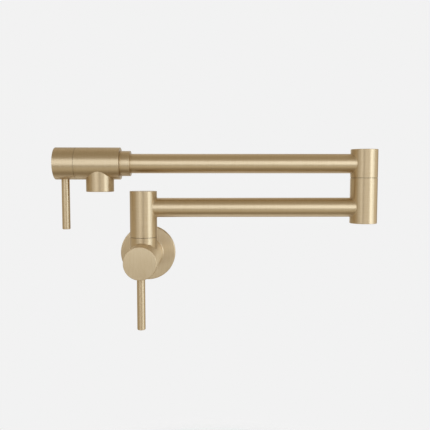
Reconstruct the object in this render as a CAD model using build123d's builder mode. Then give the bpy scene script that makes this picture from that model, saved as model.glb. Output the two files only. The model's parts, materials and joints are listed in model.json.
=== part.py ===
# Wall mounted pot filler with a folding double arm, modelled as it comes apart on a bench.
#
# Frame, in millimetres: the origin is the centre of the supply inlet on the finished wall,
# +X runs along the wall, +Y goes into the wall and +Z is up. At rest both arms are folded
# parallel to the wall, arm 2 above arm 1, and both levers hang down (valves shut).
from build123d import *
from math import sqrt
import os

# ------------------------------------------------------------------ driving sizes
# Wall rose and supply
flange_dia = 61.0
flange_thickness = 6.0
flange_round = 0.8
gasket_dia = 46.0
gasket_hole = 26.0
gasket_thickness = 2.0
nipple_dia = 20.96              # G 1/2 thread, over its crests
nipple_neck_dia = 18.6
nipple_bore = 14.5
nipple_in_wall = 20.0
nipple_in_body = 15.0

# Round stock that the bodies are turned from
barrel_dia = 33.0               # both valve barrels and both handle hubs
column_dia = 28.0               # stub, post and both halves of the elbow
tube_dia = 20.0
tube_wall = 1.5
nozzle_dia = 28.4
edge_round = 0.4                # rounding of the free ends
rim_chamfer = 0.1               # where two bodies meet at a line
saddle_round = 1.5              # blend between the base barrel and its stub

# Where the two joints and the two arms stand
post_offset = 48.0              # post axis, in front of the wall
base_barrel_end = 64.5          # base barrel's free end, in front of the wall
stub_rise = 6.0                 # first swivel line, above the base barrel
swivel_rise = 30.7              # from a swivel line to the arm tube it carries or hangs from
post_end_rise = 17.1            # post top, above arm 1
elbow_end_rise = 16.7           # elbow bottom, below arm 1
upper_rise = 14.8               # arm 2, above the elbow's swivel line
elbow_top_rise = 14.8           # elbow top, above arm 2
arm_pitch = 230.0               # post axis to elbow axis
saddle_seat = 0.6               # how far a tube runs past the seam with its column

# Swivel joints
journal_dia = 18.0
spindle_thread_dia = 14.0
spindle_thread_length = 8.5
spindle_bore = 9.0
spindle_key = 10.0              # hexagon in the nose, across flats
spindle_key_depth = 4.0
washer_thickness = 0.35
washer_inset = 0.8              # swivel washer's rim, inside the column's surface
journal_length = 14.0           # column wall that runs on the journal
thrust_ledge = 1.4
thrust_washer_thickness = 0.8
circlip_thickness = 1.0
circlip_depth = 1.2             # how deep the circlip sits in its groove
circlip_stand = 1.7             # how far it stands proud of the spindle's nose
nose_step = 1.0                 # spindle nose, smaller in radius than the journal
spindle_tip = 1.6               # nose left above the circlip
o_ring_section = 2.4
cap_thickness = 4.5
cap_land = 1.2                  # cap's seat, wider in radius than the chamber

# Spout end of arm 2, along the arm from the elbow axis
collar_start = 242.7
collar_dia = 25.9
collar_step = 0.5
collar_step_length = 1.6
barrel_start = 253.1
barrel_end = 298.5
nozzle_station = 274.5
nozzle_drop = 29.0              # nozzle's mouth, below the arm's axis
fitting_thread_dia = 22.0
fitting_thread_length = 9.6

# Nozzle and aerator
spigot_dia = 16.0
spigot_reach = 11.0             # spigot's inner end, below the arm's axis
nozzle_bore = 12.0
aerator_thread_dia = 24.0
aerator_inset = 0.4
aerator_height = 7.4
aerator_wall = 1.4
aerator_lip = 0.8
aerator_washer_thickness = 1.5
grid_pitch = 2.9
grid_hole = 1.15                # radius over a honeycomb hole's corners
grid_floor = 1.6

# Quarter-turn ceramic cartridges, along their own axis from the seat
inlet_bore = 11.0
window_station = 8.0
window_height = 4.4
window_width = 9.0
cage_dia = 19.6
cage_wall = 1.0
cage_lift = 0.6                 # cage's end, above the seat that the seal rests on
seal_height = 2.2
disc_dia = 17.4
fixed_disc_height = 3.0
turning_disc_height = 3.2
port_outer = 7.2
port_inner = 2.0
port_rib = 3.0
driver_height = 2.6
driver_dia = 16.4
tang_width = 3.0
tang_height = 1.4
gland_floor = 11.6
nut_depth = 12.0                # depth of the nut's recess in a barrel's end
shoulder_dia = 23.8
shoulder_height = 3.0
shoulder_ring = 1.3             # section of the ring under the shoulder
nut_height = 7.4
nut_hole = 15.6
nut_notch = 2.4
neck_dia = 15.0
neck_out = 2.0                  # housing's neck, out of the barrel
stem_dia = 8.8
stem_ring = 1.8                 # section of the stem's O-ring
spline_dia = 8.0
spline_teeth = 20
spline_depth = 0.5
spline_length = 11.0

# Handles, along the valve's axis from the hub's back face
hub_length = 21.2
hub_gap = 0.2                   # open line between a barrel and its hub
hub_cavity_dia = 24.6
hub_cavity_depth = 6.0
stem_reach = 15.0
lever_dia = 8.2
lever_station = 11.3
lever_reach = 67.9              # lever's tip, from the valve's axis
lever_seat = 1.6
lever_chamfer = 0.5
lever_spigot_dia = 6.0
lever_spigot_length = 7.0
grub_dia = 5.0
grub_length = 6.0
grub_socket = 2.5               # across flats
grub_socket_depth = 2.6
grub_tip = 1.0

# Clearances
joint_gap = 0.05                # brazed, screwed and pressed pieces, per side
running_gap = 0.06              # turning shafts in their bores, per side
face_gap = 0.02                 # flat faces that slide on each other
open_gap = 0.3                  # turning faces that don't touch
small_chamfer = 0.4

# ------------------------------------------------------------------ places worked out
barrel_r = barrel_dia / 2
column_r = column_dia / 2
tube_r = tube_dia / 2
journal_r = journal_dia / 2
half_washer = washer_thickness / 2
base_line = barrel_r + stub_rise
arm_1_height = base_line + swivel_rise
elbow_line = arm_1_height + swivel_rise
arm_2_height = elbow_line + upper_rise
tube_end = sqrt(column_r ** 2 - tube_r ** 2) - saddle_seat

wall_plane = Plane(origin=(0, 0, 0), x_dir=(1, 0, 0), z_dir=(0, -1, 0))
stub_top = base_line - half_washer
post_plane = Plane(origin=(0, -post_offset, stub_top), x_dir=(1, 0, 0), z_dir=(0, 0, 1))
upper_bottom = elbow_line + half_washer
elbow_plane = Plane(
    origin=(arm_pitch, -post_offset, upper_bottom), x_dir=(-1, 0, 0), z_dir=(0, 0, -1)
)
arm_1_plane = Plane(origin=(0, -post_offset, arm_1_height), x_dir=(0, 0, -1), z_dir=(1, 0, 0))
arm_2_plane = Plane(
    origin=(arm_pitch, -post_offset, arm_2_height), x_dir=(0, 0, -1), z_dir=(-1, 0, 0)
)

# A valve's plane lies on its seat, with the handle along +Z and the lever along +X.
window_to_end_base = base_barrel_end - post_offset
base_valve_height = window_station + window_to_end_base
base_seat = base_barrel_end - base_valve_height
base_valve_plane = Plane(origin=(0, -base_seat, 0), x_dir=(0, 0, -1), z_dir=(0, -1, 0))
spout_seat = nozzle_station - window_station
spout_valve_height = barrel_end - spout_seat
spout_valve_plane = arm_2_plane.offset(spout_seat)

chamber_r = cage_dia / 2 + open_gap
nut_recess_r = shoulder_dia / 2 + open_gap
stem_r = stem_dia / 2
column_chamber_r = journal_r + thrust_ledge
cap_r = column_chamber_r + cap_land

os.makedirs("parts", exist_ok=True)


# ------------------------------------------------------------------ small helpers
def save(piece, name):
    """Label a finished piece and write its own file."""
    piece.part.label = name
    export_step(piece.part, f"parts/{name}.step")


def round_bar(plane, radius, start, end, mode=Mode.ADD):
    """Add or cut a round bar along the plane's normal, from start to end."""
    with BuildSketch(plane.offset(start)) as section:
        Circle(radius)
    extrude(section.sketch, amount=end - start, mode=mode)


def ring(plane, outer, inner, start, end, mode=Mode.ADD):
    """Add or cut a plain ring about the plane's normal, from start to end."""
    with BuildSketch(plane.offset(start)) as section:
        Circle(outer)
        Circle(inner, mode=Mode.SUBTRACT)
    extrude(section.sketch, amount=end - start, mode=mode)


def ring_groove(plane, shaft_r, ring_section, middle):
    """Cut a shaft's groove for an O-ring whose middle lies at this height."""
    half_width = ring_section / 2 + joint_gap
    floor_r = shaft_r - ring_section
    rim_r = shaft_r + open_gap
    ring(plane, rim_r, floor_r, middle - half_width, middle + half_width, Mode.SUBTRACT)


def turned(plane, *outline, mode=Mode.ADD):
    """Turn a half section, given by (radius, height) corners, about the plane's normal."""
    half_plane = Plane(origin=plane.origin, x_dir=plane.x_dir, z_dir=-plane.y_dir)
    with BuildSketch(half_plane) as section:
        with BuildLine():
            Polyline(*outline, close=True)
        make_face()
    revolve(section.sketch, axis=Axis(plane.origin, plane.z_dir), mode=mode)


def o_ring(plane, outer, section_dia, height):
    """Add an O-ring whose outside radius and height along the normal are given.

    Its round section is drawn with eight flats, as it lies squeezed in its groove.
    """
    half_plane = Plane(origin=plane.origin, x_dir=plane.x_dir, z_dir=-plane.y_dir)
    with BuildSketch(half_plane) as section:
        with Locations((outer - section_dia / 2, height)):
            RegularPolygon(section_dia / 2, 8, major_radius=False, rotation=22.5)
    revolve(section.sketch, axis=Axis(plane.origin, plane.z_dir))


def outer_rims(piece, axis, radius):
    """The circular edges of the given radius that lie round a line parallel to axis."""
    rims = piece.edges().filter_by(GeomType.CIRCLE)
    return rims.filter_by(lambda rim: abs(rim.radius - radius) < face_gap).sort_by(axis)


# ------------------------------------------------------------------ wall rose and supply
with BuildPart() as wall_flange:
    ring(wall_plane, flange_dia / 2, nipple_dia / 2 + joint_gap, 0, flange_thickness)
    fillet(outer_rims(wall_flange, Axis.Y, flange_dia / 2)[0], flange_round)
    round_bar(wall_plane, gasket_dia / 2, 0, gasket_thickness, mode=Mode.SUBTRACT)
save(wall_flange, "wall_flange")

with BuildPart() as wall_gasket:
    ring(
        wall_plane,
        gasket_dia / 2 - joint_gap,
        gasket_hole / 2,
        0,
        gasket_thickness - joint_gap,
    )
save(wall_gasket, "wall_gasket")

# The nipple's two threads are apart, with a neck where the rose sits.
nipple_inner_end = flange_thickness + nipple_in_body
with BuildPart() as supply_nipple:
    turned(
        wall_plane,
        (nipple_bore / 2, -nipple_in_wall),
        (nipple_dia / 2 - small_chamfer, -nipple_in_wall),
        (nipple_dia / 2, -nipple_in_wall + small_chamfer),
        (nipple_dia / 2, 0),
        (nipple_neck_dia / 2, 0),
        (nipple_neck_dia / 2, flange_thickness),
        (nipple_dia / 2, flange_thickness),
        (nipple_dia / 2, nipple_inner_end - small_chamfer),
        (nipple_dia / 2 - small_chamfer, nipple_inner_end),
        (nipple_bore / 2, nipple_inner_end),
    )
save(supply_nipple, "supply_nipple")


# ------------------------------------------------------------------ valve barrels
def cut_cartridge_room(plane, height):
    """Bore a barrel for its cartridge: the chamber on the seat, then the nut's recess."""
    round_bar(plane, chamber_r, 0, height, mode=Mode.SUBTRACT)
    round_bar(plane, nut_recess_r, height - nut_depth, height, mode=Mode.SUBTRACT)


with BuildPart() as base_valve_body:
    round_bar(wall_plane, barrel_r, flange_thickness, base_barrel_end)
    round_bar(post_plane, column_r, -stub_top, 0)
    plain_edges = (GeomType.CIRCLE, GeomType.LINE)
    fillet(
        base_valve_body.edges().filter_by(lambda seam: seam.geom_type not in plain_edges),
        saddle_round,
    )
    chamfer(outer_rims(base_valve_body, Axis.Y, barrel_r)[0], rim_chamfer)
    chamfer(outer_rims(base_valve_body, Axis.Z, column_r)[-1], rim_chamfer)
    round_bar(
        wall_plane,
        nipple_dia / 2 + joint_gap,
        flange_thickness,
        nipple_inner_end + joint_gap,
        mode=Mode.SUBTRACT,
    )
    round_bar(wall_plane, inlet_bore / 2, flange_thickness, base_seat, mode=Mode.SUBTRACT)
    cut_cartridge_room(base_valve_plane, base_valve_height)
    round_bar(
        post_plane,
        spindle_thread_dia / 2 + joint_gap,
        -spindle_thread_length - joint_gap,
        0,
        mode=Mode.SUBTRACT,
    )
    round_bar(post_plane, spindle_bore / 2, -stub_top, 0, mode=Mode.SUBTRACT)
save(base_valve_body, "base_valve_body")

with BuildPart() as spout_valve_body:
    round_bar(arm_2_plane, barrel_r, barrel_start, barrel_end)
    rims = outer_rims(spout_valve_body, Axis.X, barrel_r)
    chamfer((rims[0], rims[-1]), rim_chamfer)
    round_bar(
        arm_2_plane,
        fitting_thread_dia / 2 + joint_gap,
        barrel_start,
        barrel_start + fitting_thread_length + joint_gap,
        mode=Mode.SUBTRACT,
    )
    round_bar(arm_2_plane, inlet_bore / 2, barrel_start, spout_seat, mode=Mode.SUBTRACT)
    cut_cartridge_room(spout_valve_plane, spout_valve_height)
    nozzle_plane = Plane(
        origin=(arm_pitch - nozzle_station, -post_offset, arm_2_height),
        x_dir=(1, 0, 0),
        z_dir=(0, 0, -1),
    )
    round_bar(nozzle_plane, spigot_dia / 2 + joint_gap, 0, barrel_r, mode=Mode.SUBTRACT)
save(spout_valve_body, "spout_valve_body")


# ------------------------------------------------------------------ ceramic cartridges
def make_cartridge(prefix, plane, height):
    """Make the cartridge of one valve, on its seat's plane, for a barrel of this height.

    Seal, fixed disc and turning disc are stacked in a windowed cage. The stem drives the
    turning disc by a tang, and runs out through the housing's neck to the handle.
    """
    shelf = height - nut_depth
    seal_top = seal_height
    fixed_top = seal_top + fixed_disc_height
    turning_bottom = fixed_top + face_gap
    turning_top = turning_bottom + turning_disc_height
    driver_bottom = turning_top + face_gap
    driver_top = driver_bottom + driver_height
    cage_r = cage_dia / 2
    cage_inner_r = cage_r - cage_wall
    neck_end = height + neck_out
    shoulder_bottom = shelf + shoulder_ring
    shoulder_top = shelf + shoulder_height

    with BuildPart() as housing:
        turned(
            plane,
            (cage_inner_r, cage_lift),
            (cage_r, cage_lift),
            (cage_r, shoulder_bottom),
            (shoulder_dia / 2, shoulder_bottom),
            (shoulder_dia / 2, shoulder_top),
            (neck_dia / 2, shoulder_top),
            (neck_dia / 2, neck_end - small_chamfer),
            (neck_dia / 2 - small_chamfer, neck_end),
            (stem_r + running_gap, neck_end),
            (stem_r + running_gap, gland_floor),
            (cage_inner_r, gland_floor),
        )
        with BuildSketch(plane.offset(window_station - window_height / 2)) as windows:
            Rectangle(cage_dia * 2, window_width)
            Circle(cage_inner_r - cage_wall, mode=Mode.SUBTRACT)
        extrude(windows.sketch, amount=window_height, mode=Mode.SUBTRACT)
    save(housing, f"{prefix}_cartridge_housing")

    with BuildPart() as shoulder_seal:
        o_ring(
            plane,
            cage_r + joint_gap + shoulder_ring,
            shoulder_ring,
            shelf + shoulder_ring / 2,
        )
    save(shoulder_seal, f"{prefix}_shoulder_o_ring")

    with BuildPart() as seat_seal:
        turned(
            plane,
            (inlet_bore / 2 + small_chamfer, 0),
            (cage_inner_r - cage_wall, 0),
            (cage_inner_r - joint_gap, cage_lift),
            (cage_inner_r - joint_gap, seal_top),
            (inlet_bore / 2 + small_chamfer, seal_top),
        )
    save(seat_seal, f"{prefix}_seat_seal")

    # The two discs carry the same pair of half-moon ports. Shut, they are a quarter turn
    # apart, so each port faces the other disc's solid web.
    with BuildSketch() as ports:
        Circle(port_outer)
        Circle(port_inner, mode=Mode.SUBTRACT)
        Rectangle(port_rib, port_outer * 2, mode=Mode.SUBTRACT)
        with PolarLocations(0, 2, start_angle=90):
            with BuildSketch(mode=Mode.PRIVATE) as web:
                Rectangle(port_outer * 2, port_outer)
        add(web.sketch, mode=Mode.SUBTRACT)

    with BuildPart() as fixed_disc:
        round_bar(plane, disc_dia / 2, seal_top, fixed_top)
        extrude(
            plane.offset(seal_top) * ports.sketch, amount=fixed_disc_height, mode=Mode.SUBTRACT
        )
        chamfer(outer_rims(fixed_disc, Axis(plane.origin, plane.z_dir), disc_dia / 2), small_chamfer)
    save(fixed_disc, f"{prefix}_fixed_disc")

    with BuildPart() as turning_disc:
        round_bar(plane, disc_dia / 2, turning_bottom, turning_top)
        extrude(
            plane.offset(turning_bottom) * Rot(0, 0, 90) * ports.sketch,
            amount=turning_disc_height,
            mode=Mode.SUBTRACT,
        )
        with BuildSketch(plane.offset(turning_top - tang_height)) as slot:
            Rectangle(tang_width + 2 * joint_gap, cage_dia)
        extrude(slot.sketch, amount=tang_height, mode=Mode.SUBTRACT)
    save(turning_disc, f"{prefix}_turning_disc")

    stem_end = height + hub_gap + stem_reach
    ring_height = (gland_floor + neck_end) / 2
    with BuildPart() as stem:
        round_bar(plane, driver_dia / 2, driver_bottom, driver_top)
        round_bar(plane, stem_r, driver_top, stem_end - spline_length)
        with BuildSketch(plane.offset(driver_bottom - tang_height)) as tang:
            Rectangle(tang_width, driver_dia)
            Circle(driver_dia / 2, mode=Mode.INTERSECT)
        extrude(tang.sketch, amount=tang_height)
        ring_groove(plane, stem_r, stem_ring, ring_height)
        with BuildSketch(plane.offset(stem_end - spline_length)) as spline:
            Circle(spline_dia / 2 - spline_depth)
            with PolarLocations(spline_dia / 2 - spline_depth, spline_teeth):
                Rectangle(spline_depth * 2, spline_depth)
        extrude(spline.sketch, amount=spline_length)
    save(stem, f"{prefix}_stem")

    with BuildPart() as stem_seal:
        o_ring(plane, stem_r, stem_ring, ring_height)
    save(stem_seal, f"{prefix}_stem_o_ring")

    nut_r = nut_recess_r - joint_gap
    with BuildPart() as nut:
        ring(plane, nut_r, nut_hole / 2, shoulder_top, shoulder_top + nut_height)
        chamfer(outer_rims(nut, Axis(plane.origin, plane.z_dir), nut_r), small_chamfer)
        with BuildSketch(plane.offset(shoulder_top + nut_height - nut_notch)) as notches:
            with PolarLocations((nut_r + nut_hole / 2) / 2, 4, start_angle=45):
                Rectangle(nut_r, nut_notch)
        extrude(notches.sketch, amount=nut_notch, mode=Mode.SUBTRACT)
    save(nut, f"{prefix}_retaining_nut")


# ------------------------------------------------------------------ lever handles
def make_handle(prefix, plane, height):
    """Make one handle, on its valve's seat plane: hub, lever and the grub screw behind it."""
    back = plane.offset(height + hub_gap)
    lever_plane = Plane(
        origin=back.offset(lever_station).origin, x_dir=plane.z_dir, z_dir=plane.x_dir
    )
    grub_plane = Plane(
        origin=back.offset(lever_station).origin, x_dir=plane.z_dir, z_dir=-plane.y_dir
    )
    spigot_end = barrel_r - lever_seat - lever_spigot_length
    socket_r = spline_dia / 2 + spline_depth
    grub_start = socket_r + joint_gap

    with BuildPart() as hub:
        round_bar(back, barrel_r, 0, hub_length)
        rims = outer_rims(hub, Axis(plane.origin, plane.z_dir), barrel_r)
        fillet(rims[-1], edge_round)
        chamfer(outer_rims(hub, Axis(plane.origin, plane.z_dir), barrel_r)[0], rim_chamfer)
        round_bar(back, hub_cavity_dia / 2, 0, hub_cavity_depth, mode=Mode.SUBTRACT)
        round_bar(back, socket_r, 0, stem_reach + open_gap, mode=Mode.SUBTRACT)
        round_bar(
            lever_plane,
            lever_dia / 2 + joint_gap,
            barrel_r - lever_seat,
            barrel_r,
            mode=Mode.SUBTRACT,
        )
        round_bar(
            lever_plane,
            lever_spigot_dia / 2 + joint_gap,
            spigot_end - joint_gap,
            barrel_r,
            mode=Mode.SUBTRACT,
        )
        round_bar(grub_plane, grub_dia / 2 + joint_gap, 0, barrel_r, mode=Mode.SUBTRACT)
    save(hub, f"{prefix}_handle_hub")

    with BuildPart() as lever:
        turned(
            lever_plane,
            (0, spigot_end),
            (lever_spigot_dia / 2, spigot_end),
            (lever_spigot_dia / 2, barrel_r - lever_seat),
            (lever_dia / 2, barrel_r - lever_seat),
            (lever_dia / 2, lever_reach - lever_chamfer),
            (lever_dia / 2 - lever_chamfer, lever_reach),
            (0, lever_reach),
        )
    save(lever, f"{prefix}_lever")

    grub_end = grub_start + grub_length
    with BuildPart() as grub_screw:
        turned(
            grub_plane,
            (0, grub_start),
            (grub_dia / 2 - grub_tip, grub_start),
            (grub_dia / 2, grub_start + grub_tip),
            (grub_dia / 2, grub_end),
            (0, grub_end),
        )
        with BuildSketch(grub_plane.offset(grub_end - grub_socket_depth)) as socket:
            RegularPolygon(grub_socket / 2, 6, major_radius=False)
        extrude(socket.sketch, amount=grub_socket_depth, mode=Mode.SUBTRACT)
    save(grub_screw, f"{prefix}_grub_screw")


make_cartridge("base", base_valve_plane, base_valve_height)
make_handle("base", base_valve_plane, base_valve_height)
make_cartridge("spout", spout_valve_plane, spout_valve_height)
make_handle("spout", spout_valve_plane, spout_valve_height)


# ------------------------------------------------------------------ swivel joints
def make_swivel(prefix, plane):
    """Make the hollow spindle that a column turns on, with its rings, washers and circlip.

    The plane lies on the face that the spindle is screwed into, with the column above it.
    """
    ledge = washer_thickness + journal_length
    nose_r = journal_r - nose_step
    clip_start = ledge + thrust_washer_thickness + face_gap
    clip_end = clip_start + circlip_thickness
    tip = clip_end + joint_gap + spindle_tip
    seal_heights = [washer_thickness + journal_length * share for share in (0.3, 0.7)]

    with BuildPart() as spindle:
        turned(
            plane,
            (spindle_bore / 2, -spindle_thread_length),
            (spindle_thread_dia / 2 - small_chamfer, -spindle_thread_length),
            (spindle_thread_dia / 2, -spindle_thread_length + small_chamfer),
            (spindle_thread_dia / 2, 0),
            (journal_r, 0),
            (journal_r, ledge),
            (nose_r, ledge),
            (nose_r, clip_start - joint_gap),
            (nose_r - circlip_depth, clip_start - joint_gap),
            (nose_r - circlip_depth, clip_end + joint_gap),
            (nose_r, clip_end + joint_gap),
            (nose_r, tip - small_chamfer),
            (nose_r - small_chamfer, tip),
            (spindle_bore / 2, tip),
        )
        for middle in seal_heights:
            ring_groove(plane, journal_r, o_ring_section, middle)
        with BuildSketch(plane.offset(tip - spindle_key_depth)) as key:
            RegularPolygon(spindle_key / 2, 6, major_radius=False)
        extrude(key.sketch, amount=spindle_key_depth, mode=Mode.SUBTRACT)
    save(spindle, f"{prefix}_spindle")

    with BuildPart() as seals:
        for middle in seal_heights:
            o_ring(plane, journal_r, o_ring_section, middle)
    save(seals, f"{prefix}_spindle_o_rings")

    with BuildPart() as swivel_washer:
        ring(
            plane,
            column_r - washer_inset,
            journal_r + joint_gap,
            0,
            washer_thickness - face_gap,
        )
    save(swivel_washer, f"{prefix}_swivel_washer")

    with BuildPart() as thrust_washer:
        ring(
            plane,
            column_chamber_r - open_gap,
            nose_r + joint_gap,
            ledge + face_gap,
            ledge + thrust_washer_thickness,
        )
    save(thrust_washer, f"{prefix}_thrust_washer")

    clip_inner = nose_r - circlip_depth + joint_gap
    clip_outer = nose_r + circlip_stand
    lug_r = (clip_outer - clip_inner) / 2
    with BuildPart() as circlip:
        with BuildSketch(plane.offset(clip_start)):
            Circle(clip_outer)
            Circle(clip_inner, mode=Mode.SUBTRACT)
            with Locations((0, clip_outer)):
                Rectangle(lug_r * 2, clip_outer * 2, mode=Mode.SUBTRACT)
        extrude(amount=circlip_thickness)
    save(circlip, f"{prefix}_circlip")


make_swivel("base", post_plane)
make_swivel("elbow", elbow_plane)


# ------------------------------------------------------------------ columns and their caps
def make_column(name, cap_name, plane, end_rise):
    """Make a column that turns on a spindle and holds arm 1's tube, and its end cap.

    The plane lies on the face under the swivel washer, with +X along the tube.
    """
    bottom = washer_thickness
    ledge = washer_thickness + journal_length
    tube_height = swivel_rise + half_washer
    top = tube_height + end_rise
    tube_plane = Plane(
        origin=plane.offset(tube_height).origin, x_dir=plane.z_dir, z_dir=plane.x_dir
    )
    with BuildPart() as column:
        round_bar(plane, column_r, bottom, top)
        rims = outer_rims(column, Axis(plane.origin, plane.z_dir), column_r)
        fillet(rims[-1], edge_round)
        chamfer(outer_rims(column, Axis(plane.origin, plane.z_dir), column_r)[0], rim_chamfer)
        round_bar(plane, journal_r + running_gap, bottom, top, mode=Mode.SUBTRACT)
        round_bar(plane, column_chamber_r, ledge, top, mode=Mode.SUBTRACT)
        round_bar(plane, cap_r, top - cap_thickness, top, mode=Mode.SUBTRACT)
        round_bar(tube_plane, tube_r + joint_gap, 0, column_r, mode=Mode.SUBTRACT)
    save(column, name)

    with BuildPart() as cap:
        round_bar(plane, cap_r - joint_gap, top - cap_thickness + joint_gap, top)
        chamfer(
            outer_rims(cap, Axis(plane.origin, plane.z_dir), cap_r - joint_gap)[-1],
            small_chamfer,
        )
    save(cap, cap_name)


make_column("base_post", "post_cap", post_plane, post_end_rise)
make_column("elbow_lower", "elbow_cap", elbow_plane, elbow_end_rise)

with BuildPart() as elbow_upper:
    upper_plane = Plane(origin=elbow_plane.origin, x_dir=(-1, 0, 0), z_dir=(0, 0, 1))
    upper_arm = arm_2_height - upper_bottom
    round_bar(upper_plane, column_r, 0, upper_arm + elbow_top_rise)
    fillet(outer_rims(elbow_upper, Axis.Z, column_r)[-1], edge_round)
    chamfer(outer_rims(elbow_upper, Axis.Z, column_r)[0], rim_chamfer)
    round_bar(
        upper_plane,
        spindle_thread_dia / 2 + joint_gap,
        0,
        spindle_thread_length + joint_gap,
        mode=Mode.SUBTRACT,
    )
    round_bar(upper_plane, spindle_bore / 2, 0, upper_arm, mode=Mode.SUBTRACT)
    round_bar(arm_2_plane, spindle_bore / 2, 0, tube_end, mode=Mode.SUBTRACT)
    round_bar(
        arm_2_plane, tube_r + joint_gap, tube_end - joint_gap, column_r, mode=Mode.SUBTRACT
    )
save(elbow_upper, "elbow_upper")

# ------------------------------------------------------------------ arm tubes
with BuildPart() as arm_1_tube:
    ring(arm_1_plane, tube_r, tube_r - tube_wall, tube_end, arm_pitch - tube_end)
save(arm_1_tube, "arm_1_tube")

fitting_end = barrel_start + fitting_thread_length
tube_stop = fitting_end - tube_wall
with BuildPart() as arm_2_tube:
    ring(arm_2_plane, tube_r, tube_r - tube_wall, tube_end, tube_stop - joint_gap)
save(arm_2_tube, "arm_2_tube")

# ------------------------------------------------------------------ spout end of arm 2
with BuildPart() as arm_end_fitting:
    collar_r = collar_dia / 2
    collar_end = barrel_start - joint_gap
    tube_fit_r = tube_r + joint_gap
    turned(
        arm_2_plane,
        (tube_fit_r, collar_start),
        (collar_r - collar_step, collar_start),
        (collar_r - collar_step, collar_start + collar_step_length),
        (collar_r, collar_start + collar_step_length),
        (collar_r, collar_end),
        (fitting_thread_dia / 2, collar_end),
        (fitting_thread_dia / 2, fitting_end - small_chamfer),
        (fitting_thread_dia / 2 - small_chamfer, fitting_end),
        (tube_r - tube_wall, fitting_end),
        (tube_r - tube_wall, tube_stop),
        (tube_fit_r, tube_stop),
    )
save(arm_end_fitting, "arm_end_fitting")

aerator_r = aerator_thread_dia / 2
aerator_top = nozzle_drop - aerator_inset - aerator_height
washer_top = aerator_top - aerator_washer_thickness
with BuildPart() as spout_nozzle:
    round_bar(nozzle_plane, nozzle_dia / 2, 0, nozzle_drop)
    chamfer(outer_rims(spout_nozzle, Axis.Z, nozzle_dia / 2)[0], small_chamfer)
    round_bar(
        arm_2_plane, barrel_r + joint_gap, barrel_start, barrel_end, mode=Mode.SUBTRACT
    )
    round_bar(nozzle_plane, spigot_dia / 2, spigot_reach, washer_top)
    round_bar(nozzle_plane, nozzle_bore / 2, 0, nozzle_drop, mode=Mode.SUBTRACT)
    round_bar(nozzle_plane, aerator_r + joint_gap, washer_top, nozzle_drop, mode=Mode.SUBTRACT)
save(spout_nozzle, "spout_nozzle")

with BuildPart() as aerator_washer:
    ring(nozzle_plane, aerator_r - joint_gap, nozzle_bore / 2, washer_top, aerator_top)
save(aerator_washer, "aerator_washer")

aerator_inner_r = aerator_r - aerator_wall
aerator_bottom = aerator_top + aerator_height
with BuildPart() as aerator_housing:
    ring(nozzle_plane, aerator_r, aerator_inner_r, aerator_top, aerator_bottom - aerator_lip)
    ring(
        nozzle_plane,
        aerator_r,
        aerator_inner_r - aerator_lip,
        aerator_bottom - aerator_lip,
        aerator_bottom,
    )
    with BuildSketch(nozzle_plane.offset(aerator_bottom - aerator_lip)) as key_slots:
        with PolarLocations(aerator_r, 2):
            Rectangle(aerator_wall * 2, aerator_wall * 2)
    extrude(key_slots.sketch, amount=aerator_lip, mode=Mode.SUBTRACT)
save(aerator_housing, "aerator_housing")

insert_r = aerator_inner_r - joint_gap
insert_bottom = aerator_bottom - aerator_lip - joint_gap
with BuildPart() as aerator_insert:
    round_bar(nozzle_plane, insert_r, aerator_top, insert_bottom)
    round_bar(
        nozzle_plane,
        insert_r - aerator_wall,
        aerator_top,
        insert_bottom - grid_floor,
        mode=Mode.SUBTRACT,
    )
    with BuildSketch(nozzle_plane.offset(insert_bottom - grid_floor)) as honeycomb:
        with HexLocations(grid_pitch / 2, 5, 5, major_radius=False):
            RegularPolygon(grid_hole, 6)
        Circle(insert_r - aerator_wall, mode=Mode.INTERSECT)
    extrude(honeycomb.sketch, amount=grid_floor, mode=Mode.SUBTRACT)
save(aerator_insert, "aerator_insert")
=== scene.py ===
# %% [markdown]
# # Dressing a wall mounted pot filler in satin brass
#
# A pot filler is a tap over the cooker, on two arms that fold flat against the wall. Its pieces
# are already modelled at their real size, so this lesson adds what they look like: the brushed
# brass, the thread on the supply nipple, the brazed seams, the lamps and the camera.
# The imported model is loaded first, and nothing after this moves or resizes any of it.

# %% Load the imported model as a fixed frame
import json
import math

import bpy
import numpy as np
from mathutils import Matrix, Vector


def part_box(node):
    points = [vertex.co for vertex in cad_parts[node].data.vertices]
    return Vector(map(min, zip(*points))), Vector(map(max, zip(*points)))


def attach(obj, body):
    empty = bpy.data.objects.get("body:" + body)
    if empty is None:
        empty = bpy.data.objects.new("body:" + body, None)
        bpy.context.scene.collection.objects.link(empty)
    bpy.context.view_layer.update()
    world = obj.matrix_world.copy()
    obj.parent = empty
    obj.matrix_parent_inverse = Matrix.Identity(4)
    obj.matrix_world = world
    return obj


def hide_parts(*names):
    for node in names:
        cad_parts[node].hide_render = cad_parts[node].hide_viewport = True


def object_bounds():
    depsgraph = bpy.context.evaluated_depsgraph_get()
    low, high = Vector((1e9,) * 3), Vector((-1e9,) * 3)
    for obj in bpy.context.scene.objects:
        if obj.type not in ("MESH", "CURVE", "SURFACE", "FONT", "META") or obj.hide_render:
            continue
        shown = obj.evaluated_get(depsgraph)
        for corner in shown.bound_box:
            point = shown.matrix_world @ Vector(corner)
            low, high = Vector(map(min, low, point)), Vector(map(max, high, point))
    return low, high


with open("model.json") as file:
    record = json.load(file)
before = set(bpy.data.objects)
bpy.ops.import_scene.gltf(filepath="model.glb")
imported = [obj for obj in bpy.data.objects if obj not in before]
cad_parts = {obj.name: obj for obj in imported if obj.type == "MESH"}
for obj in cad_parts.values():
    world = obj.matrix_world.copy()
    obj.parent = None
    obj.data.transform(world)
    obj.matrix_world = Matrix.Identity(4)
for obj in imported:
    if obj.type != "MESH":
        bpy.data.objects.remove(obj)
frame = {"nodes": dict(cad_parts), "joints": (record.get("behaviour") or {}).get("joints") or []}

nodes = frame["nodes"]
cad_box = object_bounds()

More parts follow.
